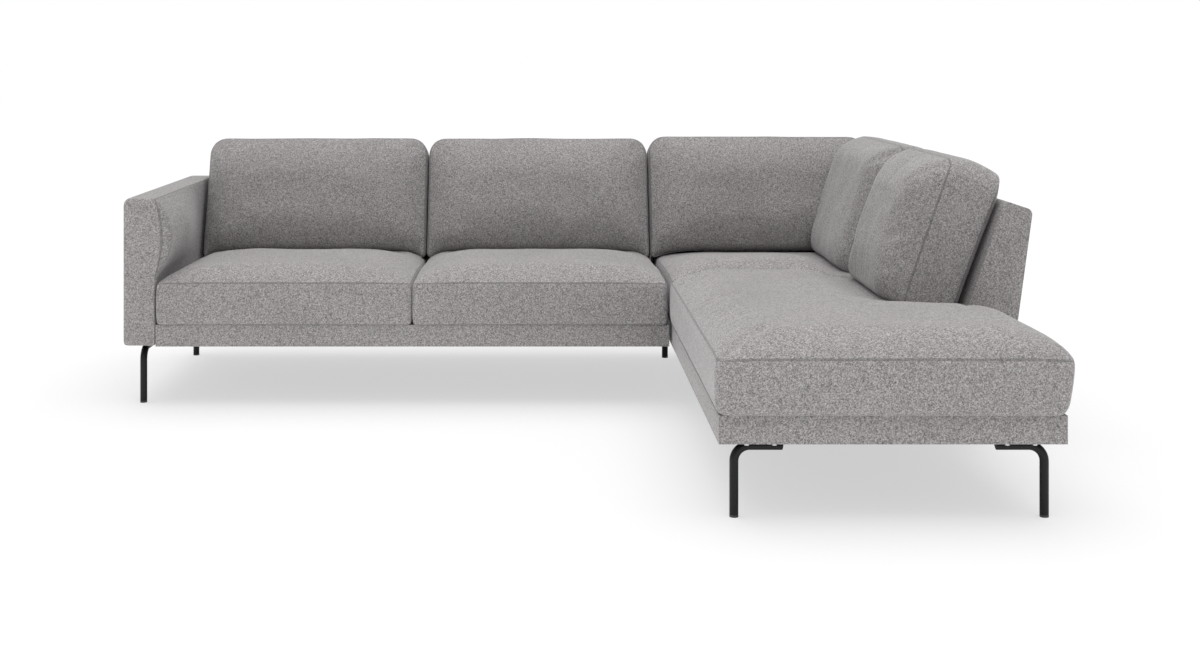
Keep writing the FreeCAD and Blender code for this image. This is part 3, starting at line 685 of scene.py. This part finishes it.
@dataclass
class ChaiseCushion(SeatCushion):
    """The long cushion of the chaise, wider in front of the side back."""

    drop: float = 0.0
    fullness: float = 0.55
    tuck: float = 0.008
    corner: float = 0.035
    taper: float = 0.02
    wing_x: float = 1.307
    step_y: float = -0.436
    step_corner: float = 0.055
    notch_corner: float = 0.012
    reaches: tuple[float, ...] = (0.17, 0.17, 0.15, 0.1, 0.3)
    lower_rear: float = 0.18
    lower_from: float = -1.1
    sink_level: float = 0.436
    sink_fall: float = 0.15
    sink_fall_x: float = 0.98
    sink_x: float = 0.86
    sink_x_over: float = 0.12
    sink_y: float = -0.62
    sink_y_over: float = 0.2
    taper_reach: float = 0.12
    cushion_y: float = -0.401
    cushion_ease: float = 0.07

    def grid(self) -> bmesh.types.BMesh:
        """A box with a wing pulled out of its right side."""
        box = super().grid()
        rows = sorted({round(v.co.y, 6) for v in box.verts})
        line = min(rows, key=lambda y: abs(y - self.step_y))
        for vert in box.verts:
            y = vert.co.y
            if y <= line + SAME:
                stretch = (y - self.low_y) * (self.step_y - self.low_y) / (line - self.low_y)
                vert.co.y = self.low_y + stretch
            else:
                stretch = (self.high_y - y) * (self.high_y - self.step_y) / (self.high_y - line)
                vert.co.y = self.high_y - stretch
        side = [f for f in box.faces if all(v.co.x > self.high_x - NEAR for v in f.verts)
                and f.calc_center_median().y < self.step_y]
        out = bmesh.ops.extrude_face_region(box, geom=side)["geom"]
        moved = [v for v in out if isinstance(v, bmesh.types.BMVert)]
        wing = self.wing_x - self.high_x
        bmesh.ops.translate(box, vec=Vector((wing, 0.0, 0.0)), verts=moved)
        bmesh.ops.delete(box, geom=[f for f in side if f.is_valid], context="FACES_ONLY")
        long = [e for e in box.edges if abs(e.verts[0].co.x - e.verts[1].co.x) > 0.05]
        bmesh.ops.subdivide_edges(box, edges=long, cuts=round(wing / self.cell) - 1,
                                  use_grid_fill=True)
        return box

    def share(self, x: float, y: float) -> float:
        """Share of the full crown at a place."""
        full = 1.0
        for gap, reach in zip(self.sides(x, y), self.reaches):
            full *= crown(gap, reach)
        return full ** self.fullness * (1.0 - self.lower_rear * eased(y - self.lower_from))

    def shaped(self, place: Vector) -> Vector:
        """Where a point of the plain grid goes.

        The top sinks before the side cushion, and the wing's side draws in towards its foot.
        """
        spot = super().shaped(place)
        if place.z > self.seam - NEAR:
            level = self.sink_level - self.sink_fall * max(0.0, place.x - self.sink_fall_x)
            spot.z -= (max(0.0, spot.z - level) * eased((place.x - self.sink_x) / self.sink_x_over)
                       * eased((place.y - self.sink_y) / self.sink_y_over))
        down = 1.0 - min(1.0, (place.z - self.base) / (self.seam - self.base))
        near = 0.0
        if place.y < self.step_y + 0.001:
            near = max(0.0, 1.0 - (self.wing_x - place.x) / self.taper_reach)
        return spot - Vector((self.taper * down * near, 0.0, 0.0))

    def sides(self, x: float, y: float) -> list[float]:
        """Distances in from the left, the wing's side, the front, the rear and the notch."""
        notch = math.hypot(max(0.0, self.high_x - x), max(0.0, self.step_y - y))
        return [x - self.low_x, self.wing_x - x, y - self.low_y, self.high_y - y, notch]

    def corners(self, x: float, y: float) -> tuple[float, float]:
        """Rounds the chaise's four outer corners and the end of its step."""
        spots = [(self.low_x, self.low_y, 1, 1, self.corner),
                 (self.wing_x, self.low_y, -1, 1, self.corner),
                 (self.wing_x, self.step_y, -1, -1, self.step_corner),
                 (self.low_x, self.high_y, 1, -1, self.corner),
                 (self.high_x, self.high_y, -1, -1, self.notch_corner)]
        for edge_x, edge_y, side_x, side_y, radius in spots:
            u, v = (x - edge_x) * side_x, (y - edge_y) * side_y
            reach = CORNER_REACH * radius
            if -SAME <= u < reach and -SAME <= v < reach:
                u, v = rounded(u, v, radius)
                return edge_x + u * side_x, edge_y + v * side_y
        return x, y

    def pressed(self, x: float, y: float) -> float:
        """Held down under the side cushion only."""
        front = lean_depth(SIDE_ROW_DEPTH, FOOT)
        across = eased((x - CHAISE_X - front + PRESS_EASE) / PRESS_EASE)
        return across * eased((y - self.cushion_y + self.cushion_ease) / self.cushion_ease)


# Back cushions


@dataclass
class BackCushion:
    """A loose cushion that leans on the back, in the rear row or along the side."""

    name: str
    start: float
    end: float
    height: float = 0.556
    rear_seam: float = 0.0205
    band: float = 0.145
    rear_rise: float = 0.02
    front_rise: float = 0.05
    belly: float = 0.7
    reach: float = 0.15
    corner: float = 0.06
    foot_corner: float = 0.02
    curl: float = 0.06
    curl_reach: float = 0.1
    dip: float = 0.03
    band_swell: float = 0.006
    flare: float = 0.0
    foot_slope: float = 0.0
    draw: float = 0.001
    band_bow: float = 0.004
    band_reach: float = 0.12
    edge_fade: float = 0.07
    rise_reach: float = 0.2
    dip_reach: float = 0.2
    curl_side: float = 0.06
    wrinkle: float = 0.004
    pucker: float = 0.0012
    pucker_reach: float = 0.05
    wave: float = 0.002
    foot_held: float = 0.03
    move_cap: float = 0.01
    cell: float = 0.0125
    seed: float = 1.0
    side: bool = False
    trim: Callable[[Vector], Vector] | None = None

    def foot(self, out: float, along: float | None = None) -> float:
        """Distance up the lean of the cushion's foot.

        Args:
            out: Distance out from the back.
            along: Place along the row, or None for the middle of the cushion.

        Returns:
            The distance in metres.
        """
        front = self.rear_seam + self.band + self.front_rise
        level = FOOT - self.foot_slope * max(0.0, front - out)
        if along is not None:
            for gap in (along - self.start, self.end - along):
                level -= self.dip * (1.0 - crown(gap, self.dip_reach, 2.6))
        return (level - DECK - out * math.sin(LEAN)) / math.cos(LEAN)

    def placed(self, along: float, up: float, out: float) -> Vector:
        """A point of the cushion in the sofa's own frame."""
        depth = SEAT_DEPTH + up * math.sin(LEAN) - out * math.cos(LEAN)
        height = DECK + up * math.cos(LEAN) + out * math.sin(LEAN)
        if self.side:
            return Vector((CHAISE_X + depth, -along, height))
        return Vector((along, FRONT_Y + depth, height))

    def shaped(self, place: Vector, tall: float) -> Vector:
        """Where a point of the plain box goes.

        Args:
            place: The point: along the row, up the cushion and out from the back.
            tall: Height of the plain box.

        Returns:
            The point in the sofa's own frame.
        """
        a, b, n = place
        front_seam = self.rear_seam + self.band
        gaps = [a - self.start, self.end - a, tall - b]
        face = 1 if n > front_seam - SAME else (-1 if n < self.rear_seam + SAME else 0)
        through = (n - self.rear_seam) / self.band
        middle = (self.start + self.end) / 2
        side = 1.0 if a < middle else -1.0
        edge = self.start if side > 0 else self.end
        u, v = rounded((a - edge) * side, tall - b, self.corner)
        a2, b2 = edge + u * side, tall - v
        u, v = rounded((a2 - edge) * side, b2, self.foot_corner)
        a2, b2 = edge + u * side, v
        share_b = b / tall
        bow = -self.band_bow * math.sin(math.pi * through)
        fade = [max(0.0, 1.0 - gap / self.edge_fade) for gap in gaps]
        a2 += (bow + self.draw * 4 * share_b * (1 - share_b)) * (fade[0] - fade[1])
        b2 += (self.band_swell * math.sin(math.pi * through) * fade[2]
               * crown(min(gaps[:2]), self.band_reach))
        low = crown(b, self.rise_reach, 2.0)
        if face:
            share = (crown(gaps[0], self.reach) * crown(gaps[1], self.reach)
                     * crown(gaps[2], self.reach))
            if face > 0:
                bumps = (ripple(Vector((a, b, 0.0)), self.seed, 0.16)
                         + 0.5 * ripple(Vector((a, b, 3.0)), self.seed, 0.07))
                n += (self.front_rise * share * (self.belly + (1.0 - self.belly) * low)
                      + self.wrinkle * bumps * share)
                under = max(0.0, 1.0 - b / self.curl_reach)
                n -= (self.curl * (1.0 - math.sqrt(1.0 - under * under))
                      * crown(gaps[0], self.curl_side) * crown(gaps[1], self.curl_side))
                n += (self.pucker * ripple(Vector((a, b, 7.0)), self.seed, 0.035)
                      * max(0.0, 1.0 - min(gaps) / self.pucker_reach))
            else:
                n -= self.rear_rise * share
        n -= self.flare * share_b ** 2 * (1.0 - through)
        base = self.foot(n, a)
        b3 = base + b2 * (self.height - base) / tall
        b3 += self.wave * ripple(Vector((a, n, 5.0)), self.seed, 0.12) * share_b
        spot = self.placed(a2, b3, n)
        return self.trim(spot) if self.trim else spot

    def build(self) -> bpy.types.Object:
        """Makes the cushion."""
        front = self.rear_seam + self.band
        tall = self.height - self.foot(front)
        box = box_grid(Vector((self.start, 0.0, self.rear_seam)),
                       Vector((self.end, tall, front)), self.cell)
        seam = []
        for level in (self.rear_seam, front):
            for edge in box.edges:
                if all(abs(v.co.z - level) < SAME for v in edge.verts) and any(
                        any(abs(v.co.z - level) > NEAR for v in f.verts)
                        for f in edge.link_faces):
                    seam.append(edge)
        rim = {v for e in seam for v in e.verts}
        held = {v for v in box.verts if v.co.z < front - NEAR or v.co.y < self.foot_held} | rim
        for vert in box.verts:
            vert.co = self.shaped(vert.co.copy(), tall)
        soften(box, list(rim), 2)
        settle(box, held, self.move_cap)
        sew(box, seam)
        piece = finish_mesh(box, self.name)
        subdivided(piece)
        dress(piece, self.name, self.name + "_cover", self.name + "_filling", fill=0.65)
        return piece


# Arm, base and backs


@dataclass
class Arm:
    """The single arm: a slim box whose inner face is softly padded."""

    low: Vector
    high: Vector
    corner: float = 0.022
    pad: float = 0.049
    pad_low: float = 0.437
    pad_high: float = 0.687
    pad_length: float = 0.6
    wrinkle: float = 0.0015
    cell: float = 0.012

    def build(self) -> bpy.types.Object:
        """Makes the arm."""
        box = box_grid(self.low, self.high, self.cell)
        rim = [v for v in box.verts if sum(abs(v.co[i] - edge[i]) < SAME for i in range(3)
                                          for edge in (self.low, self.high)) >= 2]
        sewn = {v for v in rim if v.co.x > self.high.x - SAME
                and (v.co.y < self.low.y + SAME or v.co.z > self.high.z - SAME)}
        for vert in box.verts:
            x, y, z = vert.co
            u, v = rounded(x - self.low.x, self.high.z - z, self.corner)
            vert.co = Vector((self.low.x + u, y, self.high.z - v))
            if x > self.high.x - SAME:
                back = (y - self.low.y) / self.pad_length
                swell = eased(back / 0.1 + 0.5) * (1.0 - eased((back - 0.4) / 0.75))
                up = (z - self.pad_low) / (self.pad_high - self.pad_low)
                bulge = max(0.0, math.sin(math.pi * min(1.0, max(0.0, up)))) ** 0.8
                vert.co.x += self.pad * swell * bulge + self.wrinkle * ripple(vert.co, 4.0, 0.15)
        inner = [e for e in box.edges if all(v in sewn for v in e.verts)]
        soften(box, [v for v in rim if v not in sewn], 3)
        soften(box, list(sewn), 1)
        sew(box, inner)
        piece = finish_mesh(box, "arm")
        subdivided(piece)
        dress(piece, SOFA, "arm_cover", fill=0.4)
        return piece


@dataclass
class FrameCover:
    """Tight cloth over a base or a back, with softly rounded edges."""

    name: str
    radius: float

    def build(self) -> bpy.types.Object:
        """Copies the node's outer skin, clears its flat faces and rounds its edges."""
        node = self.name + "_cover"
        skin = bmesh.new()
        skin.from_mesh(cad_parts[node].data)
        bmesh.ops.remove_doubles(skin, verts=skin.verts, dist=NEAR)
        self.keep_outer(skin)
        bmesh.ops.dissolve_limit(skin, angle_limit=math.radians(1.0), verts=skin.verts,
                                 edges=skin.edges, use_dissolve_boundaries=False, delimit=set())
        sharp = [e for e in skin.edges
                 if len(e.link_faces) == 2 and e.calc_face_angle(0.0) > math.radians(35)]
        bmesh.ops.bevel(skin, geom=sharp, offset=self.radius, offset_type="OFFSET",
                        affect="EDGES", segments=3, profile=0.5, material=-1, clamp_overlap=True)
        piece = finish_mesh(skin, self.name)
        dress(piece, SOFA, node, fill=0.2)
        return piece

    @staticmethod
    def keep_outer(skin: bmesh.types.BMesh) -> None:
        """Removes a closed inner skin, leaving the largest one."""
        left, groups = set(skin.verts), []
        while left:
            todo, group = [left.pop()], set()
            while todo:
                vert = todo.pop()
                group.add(vert)
                for edge in vert.link_edges:
                    other = edge.other_vert(vert)
                    if other in left:
                        left.discard(other)
                        todo.append(other)
            groups.append(group)
        spans = []
        for group in groups:
            places = [v.co.x + v.co.y + v.co.z for v in group]
            spans.append(max(places) - min(places))
        outer = groups[spans.index(max(spans))]
        bmesh.ops.delete(skin, geom=[v for v in skin.verts if v not in outer], context="VERTS")


class Part(Enum):
    """Finishes of the CAD nodes that stay, by the end of their names."""

    LEG = ("_leg", BLACK_STEEL)
    FOOT = ("_glide", GLIDE)
    BOLTS = ("_bolts", ZINC)
    HOOKS = ("_hooks", ZINC)
    STRAPS = ("_straps", ZINC)
    SCREWS = ("_screws", ZINC)
    FRAME = ("_frame", TIMBER)
    SPRINGS = ("_springs", WIRE)
    CLIPS = ("_clips", CLIP)
    CLOTH = ("_cloth", DUST_CLOTH)
    STRAP_WEB = ("_webbing", WEBBING)
    CORE = ("_foam", FOAM)
    FILLING = ("_filling", FOAM)
    COVER = ("_cover", FABRIC)


def dress_nodes() -> None:
    """Gives every CAD node its finish."""
    for name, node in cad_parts.items():
        for part in Part:
            ending, finish = part.value
            if name.endswith(ending):
                node.data.materials.clear()
                node.data.materials.append(finish.material())
                break


# Stage


@dataclass
class Stage:
    """White floor, plain light and the camera."""

    sky: float = 0.95
    horizon: float = 0.45
    zenith: float = 0.9
    bounce: float = 0.18
    floor_lit: float = 0.96
    floor_seen: float = 0.3
    floor_grain: float = 0.294
    floor_glow: float = 0.585
    floor_size: float = 30.0
    sun: float = 2.05
    sun_from: tuple[float, float, float] = (-0.02, 0.06, 0.99)
    sun_angle: float = 70.0
    eye: tuple[float, float, float] = (-0.05625, -4.8805, 1.180)
    focal: float = 45.0
    shift_x: float = 67.0 / 1200.0
    shift_y: float = -273.0 / 1200.0

    def camera(self) -> None:
        """The view of the photograph."""
        lens = bpy.data.cameras.new("camera")
        lens.lens, lens.sensor_width, lens.sensor_fit = self.focal, 36.0, "HORIZONTAL"
        lens.shift_x, lens.shift_y = self.shift_x, self.shift_y
        lens.clip_end = 100.0
        eye = bpy.data.objects.new("camera", lens)
        eye.location = self.eye
        eye.rotation_euler = (math.pi / 2, 0.0, 0.0)
        bpy.context.scene.collection.objects.link(eye)
        bpy.context.scene.camera = eye

    def light(self) -> None:
        """One very soft lamp overhead, and a sky that pales upwards and is white to the camera."""
        lamp = bpy.data.lights.new("soft_lamp", "SUN")
        lamp.energy, lamp.angle = self.sun, math.radians(self.sun_angle)
        body = bpy.data.objects.new("soft_lamp", lamp)
        body.rotation_mode = "QUATERNION"
        body.rotation_quaternion = Vector(self.sun_from).to_track_quat("Z", "Y")
        bpy.context.scene.collection.objects.link(body)
        world = bpy.data.worlds.new("sky")
        bpy.context.scene.world = world
        world.use_nodes = True
        nodes, links = world.node_tree.nodes, world.node_tree.links
        nodes.clear()
        path = nodes.new("ShaderNodeLightPath")
        aim, split = nodes.new("ShaderNodeTexCoord"), nodes.new("ShaderNodeSeparateXYZ")
        links.new(aim.outputs["Generated"], split.inputs[0])
        height = nodes.new("ShaderNodeMapRange")
        height.interpolation_type = "SMOOTHSTEP"
        for key, value in (("From Min", 0.0), ("From Max", self.zenith),
                           ("To Min", self.horizon), ("To Max", self.sky)):
            height.inputs[key].default_value = value
        links.new(split.outputs["Z"], height.inputs["Value"])
        level = nodes.new("ShaderNodeMapRange")
        level.inputs["To Max"].default_value = 1.0
        links.new(height.outputs[0], level.inputs["To Min"])
        links.new(path.outputs["Is Camera Ray"], level.inputs["Value"])
        glow, out = nodes.new("ShaderNodeBackground"), nodes.new("ShaderNodeOutputWorld")
        glow.inputs["Color"].default_value = (1.0, 1.0, 1.0, 1.0)
        links.new(level.outputs[0], glow.inputs["Strength"])
        links.new(glow.outputs[0], out.inputs["Surface"])

    def floor(self) -> None:
        """A floor that is white to the camera apart from the sofa's shadow."""
        sheet = bmesh.new()
        bmesh.ops.create_grid(sheet, x_segments=8, y_segments=8, size=self.floor_size)
        piece = finish_mesh(sheet, "floor")
        web = Web("white_floor")
        grain = web.noise(web.place(), 2.0, 2.0, 0.5)
        seen = web.add("ShaderNodeLightPath", {}, out="Is Camera Ray")
        cloud = web.blend(grain * 0.02, (self.floor_seen,) * 3, (self.floor_grain,) * 3)
        web.set(Base_Color=web.blend(seen, (self.floor_lit,) * 3, cloud),
                Roughness=0.9, Specular_IOR_Level=0.0, Emission_Strength=1.0,
                Emission_Color=web.blend(seen, (self.bounce,) * 3, (self.floor_glow,) * 3))
        piece.data.materials.append(web.material)

    def build(self) -> None:
        """Sets the whole stage."""
        self.camera()
        self.light()
        self.floor()
        bpy.context.scene.view_settings.view_transform = "Standard"


@dataclass
class Sofa:
    """The corner sofa: two sections, their cushions and their legs."""

    left_x: float = -1.427
    arm_x: float = -1.317
    section_x: float = 0.399
    corner_x: float = 1.174
    arm_rear_y: float = 1.075
    rear_y: float = 0.892
    nose_y: float = 0.119
    corner_front_y: float = 0.153
    chaise_rear_y: float = 0.148
    chaise_x: float = 0.401
    chaise_front_y: float = -1.145
    leg_height: float = 0.2
    arm_height: float = 0.695
    seat_gap: float = 0.003
    arm_gap: float = 0.015
    cushion_pitch: float = 0.846
    cushion_gap: float = 0.008
    back_radius: float = 0.02
    base_radius: float = 0.008

    def seats(self) -> None:
        """Four seat cushions."""
        start, end = self.arm_x + 0.0025, self.section_x - 0.006
        middle, half_gap = (start + end) / 2, self.seat_gap / 2
        SeatCushion("left_seat", start, middle - half_gap, self.nose_y, self.rear_y,
                    seed=1.0).build()
        SeatCushion("middle_seat", middle + half_gap, end, self.nose_y, self.rear_y,
                    seed=2.0).build()
        SeatCushion("corner_seat", CHAISE_X, self.corner_x, self.corner_front_y, self.rear_y,
                    rise=0.055, reach=0.2, side_reach=0.26, drop=0.012, sag=0.035, seed=3.0,
                    side_row=True).build()
        ChaiseCushion("chaise_seat", self.chaise_x, self.corner_x, self.chaise_front_y,
                      self.chaise_rear_y, rise=0.058, rear_row=False, seed=4.0,
                      cell=0.0135).build()

    def backs(self) -> None:
        """Five back cushions: three along the rear and two along the side."""
        first = self.arm_x + self.arm_gap
        for i, (name, taller) in enumerate((("left", 0.0), ("middle", 0.0), ("corner", 0.007))):
            start = first + i * self.cushion_pitch
            BackCushion(name + "_back_cushion", start,
                        start + self.cushion_pitch - self.cushion_gap,
                        height=0.556 + taller, seed=5.0 + i).build()
        side = dict(side=True, height=0.566, rear_seam=0.0305, rear_rise=0.03,
                    front_rise=0.085, belly=0.95, curl=0.045, dip=0.0, band_swell=0.016,
                    flare=0.016, foot_slope=0.12, reach=0.11)
        BackCushion("front_side_cushion", -0.175, 0.401, seed=9.0, **side).build()
        BackCushion("rear_side_cushion", -0.9, -0.183, seed=10.0, trim=self.behind_row,
                    **side).build()

    @staticmethod
    def behind_row(spot: Vector) -> Vector:
        """Keeps the rear side cushion in front of the rear row's cushions."""
        limit = FRONT_Y + lean_depth(REAR_ROW_DEPTH + 0.002, spot.z)
        if spot.y > limit:
            spot = Vector((spot.x, limit, spot.z))
        return spot

    def frames(self) -> None:
        """Upholstered bases, backs and the arm."""
        for name in ("left_base", "chaise_base"):
            FrameCover(name, self.base_radius).build()
        for name in ("left_back", "corner_back", "side_back"):
            FrameCover(name, self.back_radius).build()
        Arm(Vector((self.left_x, FRONT_Y, self.leg_height)),
            Vector((self.arm_x, self.arm_rear_y, self.arm_height))).build()


def main() -> None:
    """Builds the sofa and its stage."""
    Stage().build()
    dress_nodes()
    sofa = Sofa()
    sofa.frames()
    sofa.seats()
    sofa.backs()


if __name__ == "__main__":
    main()
